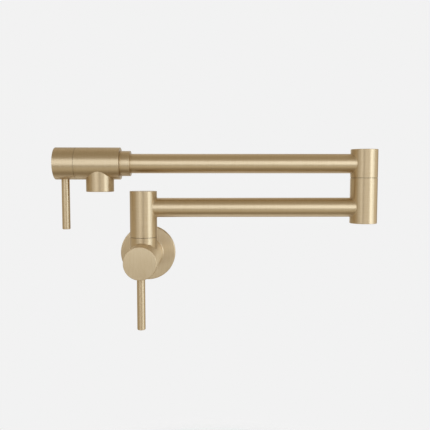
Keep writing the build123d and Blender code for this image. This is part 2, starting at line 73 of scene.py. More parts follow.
# %% [markdown]
# The joints already say where the two swivels stand, and the pieces' own boxes say how long
# and how thick they are. Typing those sizes in again would be quicker, but they would go wrong
# as soon as the model changed. Reading both keeps every new piece on what carries it.

# %% Places read from the frame
mm = 0.001
x_axis, y_axis, z_axis = (1, 0, 0), (0, 1, 0), (0, 0, 1)
to_left, down = (-1, 0, 0), (0, 0, -1)


def box_middle(box, axis):
    """The middle of a piece's box along axis 0, 1 or 2: (low + high) / 2."""
    low, high = box
    return (low[axis] + high[axis]) / 2


def bar_radius(box, axis):
    """The radius of a round bar, from its box's width along axis 0, 1 or 2: (high - low) / 2."""
    low, high = box
    return (high[axis] - low[axis]) / 2


joint_place = {joint["name"]: np.array(joint["pos_m"]) for joint in frame["joints"]}
post_axis = joint_place["base_swivel"]
elbow_axis = joint_place["elbow_swivel"]
arm_1_height = box_middle(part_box("arm_1_tube"), 2)
arm_2_height = box_middle(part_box("arm_2_tube"), 2)
print("post at", post_axis, "elbow at", elbow_axis, "arms at", arm_1_height, arm_2_height)

# %% [markdown]
# ## The camera
# A photograph's perspective is part of how an object looks: here the spout end shows its round
# face and the elbow shows its left side, because the camera stands close, in front of the post.
# A camera could be placed by eye. This one was worked out from the edges that the photograph
# shows, which gives its place, its turn and its lens in real units.

# %% Place the camera
camera_place = (0.0631, -0.6125, 0.0865)
camera_turn, camera_tilt = -1.15, -4.18      # degrees, to the left and up when positive
camera_lens, camera_sensor = 45.4, 36.0      # millimetres

camera = bpy.data.objects.new("camera", bpy.data.cameras.new("camera"))
camera.data.lens = camera_lens
camera.data.sensor_width = camera_sensor
camera.location = camera_place
camera.rotation_euler = (math.radians(90 + camera_tilt), 0, math.radians(camera_turn))
bpy.context.scene.collection.objects.link(camera)
bpy.context.scene.camera = camera
bpy.context.scene.view_settings.view_transform = "Standard"
print("camera", camera.location, "lens", camera.data.lens)

# %% [markdown]
# ## Surfaces from numbers
# Every new piece here is a grid of points bent into shape by a formula. The points could be
# added one by one, but whole arrays are shorter to write and quick to compute.
# A closed piece wraps round in both directions, like the skin of a ring. Its volume is
# positive when its faces point outwards, so the sign of the volume turns them the right way.

# %% Turn a grid of points into a piece
sharp_above = 35         # degrees: where two faces turn further than this, the edge stays crisp


def grid_faces(rows, columns, wrap_rows, wrap_columns):
    """Four-sided faces between neighbours: point (i, j), (i, j+1), (i+1, j+1), (i+1, j)."""
    i = np.arange(rows if wrap_rows else rows - 1)[:, None]
    j = np.arange(columns if wrap_columns else columns - 1)[None, :]
    row, next_row = i * columns, (i + 1) % rows * columns
    next_j = (j + 1) % columns
    corners = (row + j, row + next_j, next_row + next_j, next_row + j)
    return np.stack(np.broadcast_arrays(*corners), axis=-1).reshape(-1, 4)


def signed_volume(points, faces):
    """One sixth of the sum of a . (b x c) over all triangles: positive if they face outwards."""
    a, b, c, d = (points[faces[:, k]] for k in range(4))
    return (np.sum(a * np.cross(b, c)) + np.sum(a * np.cross(c, d))) / 6


def make_surface(name, points, material, wrap=(True, True)):
    """Make an object from a grid of points, an array of rows x columns x 3.

    wrap says whether the last row joins the first one, and then the same for the columns.
    """
    rows, columns = points.shape[:2]
    places = points.reshape(-1, 3)
    faces = grid_faces(rows, columns, *wrap)
    if all(wrap) and signed_volume(places, faces) < 0:
        faces = faces[:, ::-1]
    mesh = bpy.data.meshes.new(name)
    mesh.vertices.add(len(places))
    mesh.vertices.foreach_set("co", places.astype(np.float32).ravel())
    mesh.loops.add(faces.size)
    mesh.loops.foreach_set("vertex_index", faces.astype(np.int32).ravel())
    mesh.polygons.add(len(faces))
    mesh.polygons.foreach_set("loop_start", np.arange(0, faces.size, 4, dtype=np.int32))
    mesh.update(calc_edges=True)
    mesh.shade_smooth()
    mesh.set_sharp_from_angle(angle=math.radians(sharp_above))
    mesh.materials.append(material)
    piece = bpy.data.objects.new(name, mesh)
    bpy.context.scene.collection.objects.link(piece)
    print("made", name, "with", len(faces), "faces")
    return piece


print("a ring of 3 x 4 points has", len(grid_faces(3, 4, True, True)), "faces")

# %% [markdown]
# ## Writing materials in nodes
# A material is a small graph of nodes. Wiring each one by hand takes many lines, so one helper
# adds a node and sets or links its inputs. All patterns read Object coordinates, which stay
# with the piece when a joint turns it.

# %% A helper that adds a node and wires it
def add(tree, kind, inputs=None, **settings):
    """Add one node, set its properties, and set or link its inputs by name or number."""
    node = tree.nodes.new(kind)
    for setting, value in settings.items():
        setattr(node, setting, value)
    for socket, value in (inputs or {}).items():
        if isinstance(value, bpy.types.NodeSocket):
            tree.links.new(value, node.inputs[socket])
        else:
            node.inputs[socket].default_value = value
    return node


def new_material(name):
    """Make a node material, and return it with its tree and its shader."""
    material = bpy.data.materials.new(name)
    material.use_nodes = True
    tree = material.node_tree
    return material, tree, tree.nodes["Principled BSDF"]


print("helpers to start a material:", add.__name__, new_material.__name__)

# %% [markdown]
# What a shader needs is often a sum of other values. Blender has one node for sums on numbers,
# one for sums on vectors and one that blends two vectors. Placed by hand they fill a screen, and
# as functions they read like the sum itself.

# %% Sums on values and on vectors
def math_node(tree, operation, first, second=0.5, clamp=False):
    """Return the result of a sum on one or two values."""
    inputs = {0: first, 1: second}
    return add(tree, "ShaderNodeMath", inputs, operation=operation, use_clamp=clamp).outputs[0]


def vector_node(tree, operation, first, second=(0, 0, 0)):
    """Return the result of a sum on one or two vectors, as a vector or as a value."""
    node = add(tree, "ShaderNodeVectorMath", {0: first, 1: second}, operation=operation)
    return node.outputs["Value" if operation in ("DOT_PRODUCT", "LENGTH") else "Vector"]


def blend_vectors(tree, share, first, second):
    """Return first where share is 0 and second where it is 1."""
    node = add(tree, "ShaderNodeMix", data_type="VECTOR")
    for name, value in (("Factor", share), ("A", first), ("B", second)):
        socket = next(s for s in node.inputs if s.name == name and s.enabled)
        if isinstance(value, bpy.types.NodeSocket):
            tree.links.new(value, socket)
        else:
            socket.default_value = value
    return next(s for s in node.outputs if s.enabled)


print("helpers for sums:", math_node.__name__, vector_node.__name__, blend_vectors.__name__)

# %% [markdown]
# Noise by itself is a cloud of grey. It becomes a finish when its middle part is mapped to two
# tones of one colour and to a small range of roughness. An image could do the same, but noise
# has no seams and no edge, and it stays sharp from close by.

# %% Noise, and the ranges and colours made from it
noise_detail, noise_roughness = 3.0, 0.6


def noise(tree, coordinates):
    """Return smooth noise from 0 to 1, about one bump to each unit of the coordinates."""
    inputs = {
        "Vector": coordinates, "Scale": 1.0, "Detail": noise_detail, "Roughness": noise_roughness,
    }
    return add(tree, "ShaderNodeTexNoise", inputs).outputs[0]


def spread(tree, value, low, high, to_low, to_high):
    """Map a value from the range low..high to to_low..to_high, smoothly and without overshoot."""
    inputs = {
        "Value": value, "From Min": low, "From Max": high, "To Min": to_low, "To Max": to_high,
    }
    return add(tree, "ShaderNodeMapRange", inputs, interpolation_type="SMOOTHSTEP").outputs[0]


def colour_ramp(tree, value, *stops):
    """Return a colour that runs from one (place, (r, g, b)) stop to the other."""
    node = add(tree, "ShaderNodeValToRGB", {"Fac": value})
    for (place, colour), element in zip(stops, node.color_ramp.elements):
        element.position = place
        element.color = (*colour, 1)
    return node.outputs["Color"]


print("helpers for patterns:", noise.__name__, spread.__name__, colour_ramp.__name__)

# %% [markdown]
# ## Satin brushed brass
# The finish is made on a lathe: an abrasive held against the turning piece leaves fine lines
# that run round it. Flat ends are rubbed straight. The lines could come from a stretched image,
# but noise squeezed along the piece's own axis follows every piece without a seam. On a flat
# end it is squeezed along a direction in the face instead.

# %% The lines that brushing leaves
line_width, band_width, line_length = 0.22 * mm, 1.6 * mm, 9.0 * mm
flat_end = 0.75          # a normal whose share along the axis is larger belongs to a flat end


def along(axis, small, large):
    """A scale that is 1/small along the axis and 1/large in the other two directions."""
    return tuple(1 / small if part else 1 / large for part in axis)


def brush_lines(tree, axis, face_axis):
    """Return fine lines, broad bands and the direction across them, for a piece turned on axis.

    On a flat end, where |normal . axis| is above flat_end, face_axis takes the axis's place.
    """
    coordinates = add(tree, "ShaderNodeTexCoord").outputs
    place, normal = coordinates["Object"], coordinates["Normal"]
    along_axis = math_node(tree, "ABSOLUTE", vector_node(tree, "DOT_PRODUCT", normal, axis))
    on_face = math_node(tree, "GREATER_THAN", along_axis, flat_end)
    fine, broad = (
        noise(tree, blend_vectors(
            tree,
            on_face,
            vector_node(tree, "MULTIPLY", place, along(axis, width, line_length)),
            vector_node(tree, "MULTIPLY", place, along(face_axis, width, line_length)),
        ))
        for width in (line_width, band_width)
    )
    across = blend_vectors(tree, on_face, axis, face_axis)
    return fine, broad, across


print("lines", line_width / mm, "mm wide in bands of", band_width / mm, "mm")

# %% [markdown]
# Handling rubs the outer edges of satin brass a little paler. They could be painted by hand,
# but a shader can find them: the Bevel node gives the normal that a slightly rounded piece would
# have, and where that leans away from the true normal there is an edge.

# %% Rubbed outer edges
edge_rounding = 0.5 * mm
edge_agreement, side_agreement = 0.80, 0.98     # the two normals' dot product, on and off edges


def worn_edges(tree):
    """Return 1 on rubbed outer edges and 0 elsewhere, from how far a rounded normal turns."""
    rounded = add(tree, "ShaderNodeBevel", {"Radius": edge_rounding}, samples=4).outputs[0]
    true = add(tree, "ShaderNodeNewGeometry").outputs["Normal"]
    agreement = vector_node(tree, "DOT_PRODUCT", rounded, true)
    return spread(tree, agreement, edge_agreement, side_agreement, 1.0, 0.0)


print("edges rubbed within", edge_rounding / mm, "mm")

# %% [markdown]
# A highlight on brushed metal stays narrow along the lines and spreads across them, which is
# why the photograph shows crisp bands of light along each tube. A plain rough metal would blur
# both ways, so the shader's anisotropy does this, with its tangent across the lines: along the
# piece's own axis. The colour sits between the pale gold of the highlights and the olive brown
# of the shadows. The tubes and levers look smoother in the photograph than the valve bodies,
# so each group of pieces has its own contrast. The spout valve's brass carries painted shade:
# its colours are made a little darker to stand in for the dimmer light that falls on it.

# %% Satin brass, by the axis that a piece was turned on
brass_dark, brass_light = (0.560, 0.425, 0.255), (0.640, 0.505, 0.325)
worn_brass, worn_share = (0.74, 0.62, 0.44), 0.1
fine_share, broad_share = 0.6, 0.4
dark_below, light_above = 0.36, 0.64        # noise up to here, or from here, is all one colour,
smooth_below, rough_above = 0.3, 0.7        # and likewise all one roughness
satin_roughness, satin_anisotropy = (0.37, 0.43), 0.9
line_relief, line_height = 0.12, 0.02 * mm


def finish_brass(tree, shader, fine, broad, across, contrast, painted_shade_factor=1.0):
    """Colour, roughness, relief and tangent of the satin finish, from its lines.

    The lines are the fine and the broad noise, each times its share, and then
    0.5 + contrast * (lines - 0.5). The painted shade factor multiplies both colours, darkening
    the brass as painted shade where less light falls on it.
    """
    dark, light = (tuple(part * painted_shade_factor for part in colour) for colour in (brass_dark, brass_light))
    fine_part = math_node(tree, "MULTIPLY", fine, fine_share)
    broad_part = math_node(tree, "MULTIPLY", broad, broad_share)
    from_middle = math_node(tree, "SUBTRACT", math_node(tree, "ADD", fine_part, broad_part), 0.5)
    lines = math_node(tree, "ADD", math_node(tree, "MULTIPLY", from_middle, contrast), 0.5)

    colour = colour_ramp(tree, lines, (dark_below, dark), (light_above, light))
    paler = add(tree, "ShaderNodeMix", data_type="RGBA", blend_type="MIX")
    worn = math_node(tree, "MULTIPLY", worn_edges(tree), worn_share)
    tree.links.new(worn, paler.inputs["Factor"])
    tree.links.new(colour, paler.inputs[6])
    paler.inputs[7].default_value = (*worn_brass, 1)
    tree.links.new(paler.outputs[2], shader.inputs["Base Color"])

    rough = spread(tree, lines, smooth_below, rough_above, *satin_roughness)
    tree.links.new(rough, shader.inputs["Roughness"])
    relief_inputs = {"Strength": line_relief * contrast, "Distance": line_height, "Height": fine}
    relief = add(tree, "ShaderNodeBump", relief_inputs)
    tree.links.new(relief.outputs[0], shader.inputs["Normal"])
    tangent = add(
        tree, "ShaderNodeVectorTransform", {0: across},
        vector_type="VECTOR", convert_from="OBJECT", convert_to="WORLD",
    )
    tree.links.new(tangent.outputs[0], shader.inputs["Tangent"])
    shader.inputs["Metallic"].default_value = 1.0
    shader.inputs["Anisotropic"].default_value = satin_anisotropy


def satin_brass(name, axis, face_axis, contrast, painted_shade_factor=1.0):
    """Satin brass for a piece turned on one axis, its flat ends rubbed across face_axis."""
    material, tree, shader = new_material(name)
    finish_brass(tree, shader, *brush_lines(tree, axis, face_axis), contrast, painted_shade_factor)
    return material


brass_on_x = satin_brass("satin_brass_on_x", x_axis, z_axis, contrast=0.5)
brass_on_y = satin_brass("satin_brass_on_y", y_axis, x_axis, contrast=0.9)
brass_on_z = satin_brass("satin_brass_on_z", z_axis, x_axis, contrast=0.7)
# painted shade: the spout valve's pieces get brass 0.94 times as bright, for the dimmer light on
# them
brass_of_barrel_with_painted_shade = satin_brass("satin_brass_of_barrel", x_axis, z_axis, contrast=0.7, painted_shade_factor=0.94)
brass_of_levers = satin_brass("satin_brass_of_levers", z_axis, x_axis, contrast=0.3)
print("five brushed brasses")

# %% [markdown]
# The base body is one casting with two turned parts: a barrel that comes out of the wall and
# an upright stub. One set of lines would run the wrong way on one of them, and two separate
# pieces would show a joint. Outside the barrel's radius a point lies on the stub, so the
# distance from the barrel's axis chooses between the two sets of lines.

# %% Brass for the base body
barrel_radius = bar_radius(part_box("base_handle_hub"), 0)
barrel_skin = 0.2 * mm      # points this close outside the barrel still count as the barrel


def satin_brass_of_base():
    """Lines round the y axis on the barrel, and round the z axis on the stub above it."""
    material, tree, shader = new_material("satin_brass_of_base")
    place = add(tree, "ShaderNodeTexCoord").outputs["Object"]
    from_axis = vector_node(tree, "LENGTH", vector_node(tree, "MULTIPLY", place, (1, 0, 1)))
    on_stub = math_node(tree, "GREATER_THAN", from_axis, barrel_radius + barrel_skin)
    barrel = brush_lines(tree, y_axis, x_axis)
    stub = brush_lines(tree, z_axis, x_axis)
    both = (blend_vectors(tree, on_stub, *pair) for pair in zip(barrel, stub))
    finish_brass(tree, shader, *both, contrast=0.7)
    return material


brass_of_base = satin_brass_of_base()
print("barrel radius", barrel_radius)

# %% [markdown]
# ## The finishes that show only at the back, underneath or inside
# A reusable part is looked at from all sides, and taken apart. The nipple and the valve
# internals are bare machined brass, the O-rings black rubber, the discs lapped ceramic. One
# function with different tones and grain makes them all, because none of them needs more. Tool
# marks on machined brass are the same noise, stretched round the piece's axis.

# %% Machined brass, steel, rubber, ceramic and plastics
speckle_dark, speckle_light = 0.35, 0.65
speckle_height, roughness_swing = 0.1 * mm, 0.05


def plain_finish(
    name, dark, light, roughness, metallic=0.0, grain=0.6 * mm, relief=0.05, stretch=(1, 1, 1)
):
    """A finish of two tones mixed by noise, with the same noise in its roughness and relief."""
    material, tree, shader = new_material(name)
    place = add(tree, "ShaderNodeTexCoord").outputs["Object"]
    scale = tuple(part / grain for part in stretch)
    speckle = noise(tree, vector_node(tree, "MULTIPLY", place, scale))
    colour = colour_ramp(tree, speckle, (speckle_dark, dark), (speckle_light, light))
    tree.links.new(colour, shader.inputs["Base Color"])
    swing = (roughness - roughness_swing, roughness + roughness_swing)
    rough = spread(tree, speckle, smooth_below, rough_above, *swing)
    tree.links.new(rough, shader.inputs["Roughness"])
    bump_inputs = {"Strength": relief, "Distance": speckle_height, "Height": speckle}
    bump = add(tree, "ShaderNodeBump", bump_inputs)
    tree.links.new(bump.outputs[0], shader.inputs["Normal"])
    shader.inputs["Metallic"].default_value = metallic
    return material


def machined_brass(letter, stretch):
    """Bare brass with fine tool marks that run round the axis of that letter."""
    return plain_finish(
        f"machined_brass_on_{letter}", (0.62, 0.46, 0.20), (0.74, 0.57, 0.28),
        roughness=0.30, metallic=1.0, grain=0.3 * mm, relief=0.1, stretch=stretch,
    )


along_marks = 0.05       # the noise changes this much more slowly along a tool mark
machined_y = machined_brass("y", (along_marks, 1, along_marks))
machined_x = machined_brass("x", (1, along_marks, along_marks))
machined_z = machined_brass("z", (along_marks, along_marks, 1))
spring_steel = plain_finish(
    "spring_steel", (0.50, 0.50, 0.51), (0.62, 0.62, 0.62), roughness=0.32, metallic=1.0
)
black_rubber = plain_finish(
    "black_rubber", (0.018, 0.018, 0.019), (0.035, 0.035, 0.036), roughness=0.62, relief=0.2
)
lapped_ceramic = plain_finish(
    "lapped_ceramic", (0.80, 0.79, 0.75), (0.86, 0.85, 0.82), roughness=0.22, grain=0.15 * mm
)
dark_acetal = plain_finish(
    "dark_acetal", (0.060, 0.044, 0.028), (0.085, 0.064, 0.042), roughness=0.55
)
pale_plastic = plain_finish(
    "pale_plastic", (0.60, 0.60, 0.58), (0.68, 0.68, 0.66), roughness=0.40, grain=1.2 * mm
)
print("eight plain finishes")

# %% [markdown]
# ## Dressing the CAD pieces
# A piece whose shape is right keeps its mesh and only gets a better material in its slot. The
# list goes by finish, as a maker would sort the pieces into trays for the polishing shop.

# %% Give every CAD piece its finish
valves, swivels = ("base", "spout"), ("base", "elbow")
finishes = {
    brass_on_x: ["arm_1_tube", "arm_2_tube"],
    # painted shade: these pieces take the darker brass
    brass_of_barrel_with_painted_shade: ["arm_end_fitting", "spout_valve_body", "spout_handle_hub"],
    brass_on_y: ["wall_flange", "base_handle_hub"],
    brass_on_z: [
        "base_post", "post_cap", "elbow_lower", "elbow_cap", "elbow_upper", "spout_nozzle",
    ],
    brass_of_levers: ["base_lever", "spout_lever"],
    brass_of_base: ["base_valve_body"],
    machined_y: ["supply_nipple", "base_cartridge_housing", "base_retaining_nut", "base_stem"],
    machined_x: ["spout_cartridge_housing", "spout_retaining_nut", "spout_stem"],
    machined_z: ["base_spindle", "elbow_spindle"],
    spring_steel: ["base_circlip", "elbow_circlip", "base_grub_screw", "spout_grub_screw"],
    black_rubber: [
        "wall_gasket", "aerator_washer", "base_spindle_o_rings", "elbow_spindle_o_rings",
        *(f"{valve}_shoulder_o_ring" for valve in valves),
        *(f"{valve}_stem_o_ring" for valve in valves),
        *(f"{valve}_seat_seal" for valve in valves),
    ],
    lapped_ceramic: [
        *(f"{valve}_fixed_disc" for valve in valves),
        *(f"{valve}_turning_disc" for valve in valves),
    ],
    dark_acetal: [
        *(f"{swivel}_swivel_washer" for swivel in swivels),
        *(f"{swivel}_thrust_washer" for swivel in swivels),
    ],
    pale_plastic: ["aerator_housing", "aerator_insert"],
}
for finish, names in finishes.items():
    for name in names:
        for slot in nodes[name].material_slots:
            slot.material = finish
dressed = {name for names in finishes.values() for name in names}
print(len(dressed), "pieces dressed, left bare:", sorted(set(nodes) - dressed))

# %% [markdown]
# ## A real thread on the nipple
# The supply nipple is a short pipe with a half inch thread on both ends and a plain neck where
# the rose sits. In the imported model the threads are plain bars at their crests, which is enough
# to measure and to screw on. A spiral could be swept as a separate ridge, but then its ends need
# hiding. Here the skin itself is bent: the radius of a turned outline is lowered by a wave that
# climbs one pitch in one turn, and the wave fades out at both ends of the thread.

# %% Turned outlines and threads
at_crest_within = 0.02 * mm
flank_slope, flat_share = 1.3, 0.15     # steeper flanks than a triangle's leave flats between


def fade(distance, length):
    """0 at a thread's end, rising smoothly to 1 over a length: 3 t^2 - 2 t^3."""
    t = np.clip(distance / length, 0, 1)
    return t * t * (3 - 2 * t)


def thread_depth(height, angle, start, end, pitch, depth):
    """How far a thread cuts below its crests: a rounded triangle wave in height / pitch - turns."""
    turns = height / pitch - angle / (2 * np.pi)
    ridge = np.abs(2 * (turns - np.floor(turns)) - 1)
    rounded = 0.5 - 0.5 * np.cos(np.pi * np.clip(flank_slope * ridge - flat_share, 0, 1))
    return depth * rounded * fade(height - start, pitch) * fade(end - height, pitch)


def along_outline(corners, step):
    """Points (radius, height) round a closed outline, its long sides divided about every step."""
    runs = []
    for (r0, h0), (r1, h1) in zip(corners, [*corners[1:], corners[0]]):
        count = max(2, math.ceil(math.hypot(r1 - r0, h1 - h0) / step))
        share = np.arange(count) / count
        runs.append(np.stack([r0 + share * (r1 - r0), h0 + share * (h1 - h0)], axis=-1))
    return np.concatenate(runs)


def turned_skin(outline, centre, axes, sides, threads=()):
    """Turn an outline about an axis: centre + r cos(a) u + r sin(a) v + h w, less its threads.

    axes are u, v and w. A thread is (crest radius, start, end, pitch, depth), and it cuts the
    points of the outline that lie at its crest radius.
    """
    radius, height = outline[:, :1], outline[:, 1:]
    angle = np.linspace(0, 2 * np.pi, sides, endpoint=False)[None, :]
    radius = radius + 0 * angle
    for crest, start, end, pitch, depth in threads:
        cut = thread_depth(height, angle, start, end, pitch, depth)
        at_crest = (np.abs(radius - crest) < at_crest_within) & (height > start) & (height < end)
        radius = np.where(at_crest, radius - cut, radius)
    u, v, w = (np.array(axis, dtype=float) for axis in axes)
    return (
        np.array(centre)
        + (radius * np.cos(angle))[..., None] * u
        + (radius * np.sin(angle))[..., None] * v
        + (height + 0 * angle)[..., None] * w
    )


turned_on_y = (x_axis, down, y_axis)        # u, v and w of a piece turned on the y axis,
turned_on_x = (y_axis, z_axis, x_axis)      # and of one turned on the x axis
print("threads fade out over one pitch")

# %% [markdown]
# The nipple's outline is drawn as half of its section: up the outside, over both threads and
# the neck between them, and back through the bore. A profile could be drawn as a curve and spun
# by a modifier, but then the thread couldn't bend it.

# %% The threaded supply nipple
nipple_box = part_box("supply_nipple")
nipple_front, nipple_back = nipple_box[0][1], nipple_box[1][1]
rose_face, wall_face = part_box("wall_flange")[0][1], 0.0
crest = bar_radius(nipple_box, 0)
pitch_half_inch, thread_cut = 1.814 * mm, 1.16 * mm
pipe_bore, end_chamfer = 7.25 * mm, 0.9 * mm
neck, neck_step, neck_slope = crest - thread_cut, 0.05 * mm, 0.4 * mm
points_to_a_pitch, nipple_sides = 14, 120

nipple_outline = along_outline([
    (pipe_bore, nipple_front),
    (crest - end_chamfer, nipple_front),
    (crest, nipple_front + end_chamfer),
    (crest, rose_face),
    (neck, rose_face + neck_step),
    (neck, wall_face - neck_slope),
    (crest, wall_face),
    (crest, nipple_back - end_chamfer),
    (crest - end_chamfer, nipple_back),
    (pipe_bore, nipple_back),
], pitch_half_inch / points_to_a_pitch)
nipple_threads = [
    (crest, nipple_front, rose_face, pitch_half_inch, thread_cut),
    (crest, wall_face, nipple_back, pitch_half_inch, thread_cut),
]
nipple_skin = turned_skin(nipple_outline, (0, 0, 0), turned_on_y, nipple_sides, nipple_threads)
nipple = make_surface("threaded_nipple", nipple_skin, machined_y)
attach(nipple, "base")
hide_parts("supply_nipple")

# %% [markdown]
# ## The turned collar
# The last piece of arm 2 is a collar that the tube is brazed into. It is screwed into the valve
# barrel, so a narrow relief groove is turned beside the barrel and the spigot inside carries a
# fine thread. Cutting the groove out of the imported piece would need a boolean, which leaves
# ragged faces. Here the outline is drawn once and turned about the arm's axis.

# %% The collar at the end of arm 2
fitting_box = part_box("arm_end_fitting")
fitting_left, fitting_right = fitting_box[0][0], fitting_box[1][0]
arm_2_axis = (0, box_middle(fitting_box, 1), box_middle(fitting_box, 2))
barrel_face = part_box("spout_valve_body")[1][0]
collar_radius, tube_radius = bar_radius(fitting_box, 2), bar_radius(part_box("arm_2_tube"), 2)
tube_wall, tube_stop, fit_gap = 1.5 * mm, 1.5 * mm, 0.05 * mm
tube_bore, tube_end = tube_radius - tube_wall, fitting_left + tube_stop
spigot_radius, spigot_pitch, spigot_cut = 11.0 * mm, 1.0 * mm, 0.55 * mm
groove_depth, groove_width, groove_inset = 0.08 * mm, 0.35 * mm, 1.5 * mm
relief_depth, relief_width = 0.15 * mm, 0.6 * mm
soft = 0.15 * mm         # the collar's edges are broken by this much
collar_step, collar_sides = 0.12 * mm, 128

groove_right = fitting_right - groove_inset
collar_outline = along_outline([
    (tube_radius + fit_gap, fitting_right),
    (collar_radius - soft, fitting_right),
    (collar_radius, fitting_right - soft),
    (collar_radius, groove_right),
    (collar_radius - groove_depth, groove_right - groove_width / 2),
    (collar_radius, groove_right - groove_width),
    (collar_radius, barrel_face + relief_width + soft),
    (collar_radius - soft, barrel_face + relief_width),
    (collar_radius - relief_depth, barrel_face + relief_width - soft),
    (collar_radius - relief_depth, barrel_face + fit_gap),
    (spigot_radius, barrel_face + fit_gap),
    (spigot_radius, fitting_left + 2 * soft),
    (spigot_radius - 2 * soft, fitting_left),
    (tube_bore, fitting_left),
    (tube_bore, tube_end),
    (tube_radius + fit_gap, tube_end),
], collar_step)
spigot_thread = (spigot_radius, fitting_left, barrel_face, spigot_pitch, spigot_cut)
collar_skin = turned_skin(collar_outline, arm_2_axis, turned_on_x, collar_sides, [spigot_thread])
# the collar takes the brass with painted shade
collar = make_surface("turned_collar", collar_skin, brass_of_barrel_with_painted_shade)
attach(collar, "arm_2")
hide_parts("arm_end_fitting")

# %% [markdown]
# ## Brazed seams
# Each tube is brazed into its column, and the polished seam is a small hollow fillet. It follows
# a saddle curve, so a straight bevel can't make it. A ball that rolls along the corner touches
# both bars, and its centre lies on a bar that is fatter by the ball's radius in each of the two:
# where those two fatter bars cross is known by a formula, and the seam is the arc between the
# two touching points. The section is closed just inside the metal.

# %% A fillet rolled along the corner between two round bars
brazed = plain_finish(
    "brazed_seam", (0.44, 0.335, 0.20), (0.52, 0.395, 0.24),
    roughness=0.42, metallic=1.0, grain=0.5 * mm,
)
sunk = 0.3 * mm          # how far the closed side of a seam lies inside the metal
seam_sides, seam_steps = 144, 9         # points round the branch, and across the hollow


def rolled_seam(name, body, centre, axes, column, branch, ball):
    """A seam between a column along w and a branch that leaves it along u, from their radii.

    With a the angle round the branch, B = branch + ball and C = column + ball, the ball's centre
    is at u = sqrt(C^2 - (B sin a)^2), v = B sin a, w = B cos a. It touches the branch straight
    towards the branch's axis, and the column straight towards the column's axis.
    """
    angle = np.linspace(0, 2 * np.pi, seam_sides, endpoint=False)[None, :]
    fat_branch, fat_column = branch + ball, column + ball
    side, up = fat_branch * np.sin(angle), fat_branch * np.cos(angle)
    out = np.sqrt(fat_column ** 2 - side ** 2)
    ball_centre = np.stack([out, side, up], axis=-1)
    to_branch = -np.stack([0 * angle, np.sin(angle), np.cos(angle)], axis=-1)
    to_column = -np.stack([out, side, 0 * angle], axis=-1) / fat_column
    share = np.linspace(0, 1, seam_steps)[:, None, None]
    turn = (1 - share) * to_branch + share * to_column
    arc = ball_centre + ball * turn / np.linalg.norm(turn, axis=-1, keepdims=True)
    branch_foot = ball_centre + (ball + sunk) * to_branch
    column_foot = ball_centre + (ball + sunk) * to_column
    corner = np.stack([
        np.sqrt(column ** 2 - (branch * np.sin(angle)) ** 2) - sunk,
        (branch - sunk) * np.sin(angle),
        (branch - sunk) * np.cos(angle),
    ], axis=-1)
    local = np.concatenate([arc, column_foot, corner, branch_foot])
    places = np.array(centre) + local @ np.array(axes, dtype=float)
    piece = make_surface(name, places, brazed)
    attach(piece, body)


print("seams sunk", sunk / mm, "mm into the metal")

# %% [markdown]
# Three seams join a tube to a column, and the fourth joins the nozzle to the spout barrel. They
# differ only in where they stand and which way the branch leaves, so a short list is enough.

# %% Braze the tubes and the nozzle
nozzle_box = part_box("spout_nozzle")
column_radius, nozzle_radius = bar_radius(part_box("base_post"), 0), bar_radius(nozzle_box, 0)
tube_ball, nozzle_ball = 0.8 * mm, 0.6 * mm
tube_seams = (
    ("seam_post", "arm_1", post_axis, arm_1_height, x_axis),
    ("seam_elbow_lower", "arm_1", elbow_axis, arm_1_height, to_left),
    ("seam_elbow_upper", "arm_2", elbow_axis, arm_2_height, to_left),
)
for name, body, column_axis, height, leaves in tube_seams:
    joint = (column_axis[0], column_axis[1], height)
    axes = (leaves, y_axis, z_axis)
    rolled_seam(name, body, joint, axes, column_radius, tube_radius, tube_ball)

nozzle_joint = (box_middle(nozzle_box, 0), post_axis[1], arm_2_height)
axes = (down, y_axis, x_axis)
rolled_seam("seam_nozzle", "arm_2", nozzle_joint, axes, barrel_radius, nozzle_radius, nozzle_ball)

# %% [markdown]
# The barrel of the base valve grows out of the rose with a small rounded root. Both are turned
# on the same axis, so this is the simplest seam: a quarter of a circle, closed inside the metal
# and turned once round.

# %% The rounded root of the barrel
root_ball, root_steps = 1.2 * mm, 13
root_turn = np.linspace(0, np.pi / 2, root_steps)
root_arc = np.stack([
    barrel_radius + root_ball * (1 - np.cos(root_turn)),
    rose_face - root_ball * (1 - np.sin(root_turn)),
], axis=-1)
root_foot = np.array([
    (barrel_radius + root_ball, rose_face + sunk),
    (barrel_radius - sunk, rose_face + sunk),
    (barrel_radius - sunk, rose_face - root_ball),
])
root_outline = np.concatenate([root_arc, root_foot])
root_skin = turned_skin(root_outline, (0, 0, 0), turned_on_y, seam_sides)
root = make_surface("barrel_root", root_skin, brass_on_y)
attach(root, "base")

# %% [markdown]
# ## The studio
# Brushed metal is a mirror of the room, so the light is arranged as shapes to be reflected. A
# strong softbox stands to the right and a weaker one to the left. They could stand in an
# empty room, but then the metal would show black between them, so a warm grey tent with pale
# panels hangs around them. Lamps at a plain level keep each colour as it is written.

# %% Two softboxes
studio_height, softbox_distance = 0.04, 1.3
studio_centre = Vector((box_middle(cad_box, 0), post_axis[1], studio_height))


def direction(azimuth, elevation):
    """A unit vector from the object: azimuth 0 is towards the viewer, positive to the right."""
    a, e = math.radians(azimuth), math.radians(elevation)
    return Vector((math.sin(a) * math.cos(e), -math.cos(a) * math.cos(e), math.sin(e)))


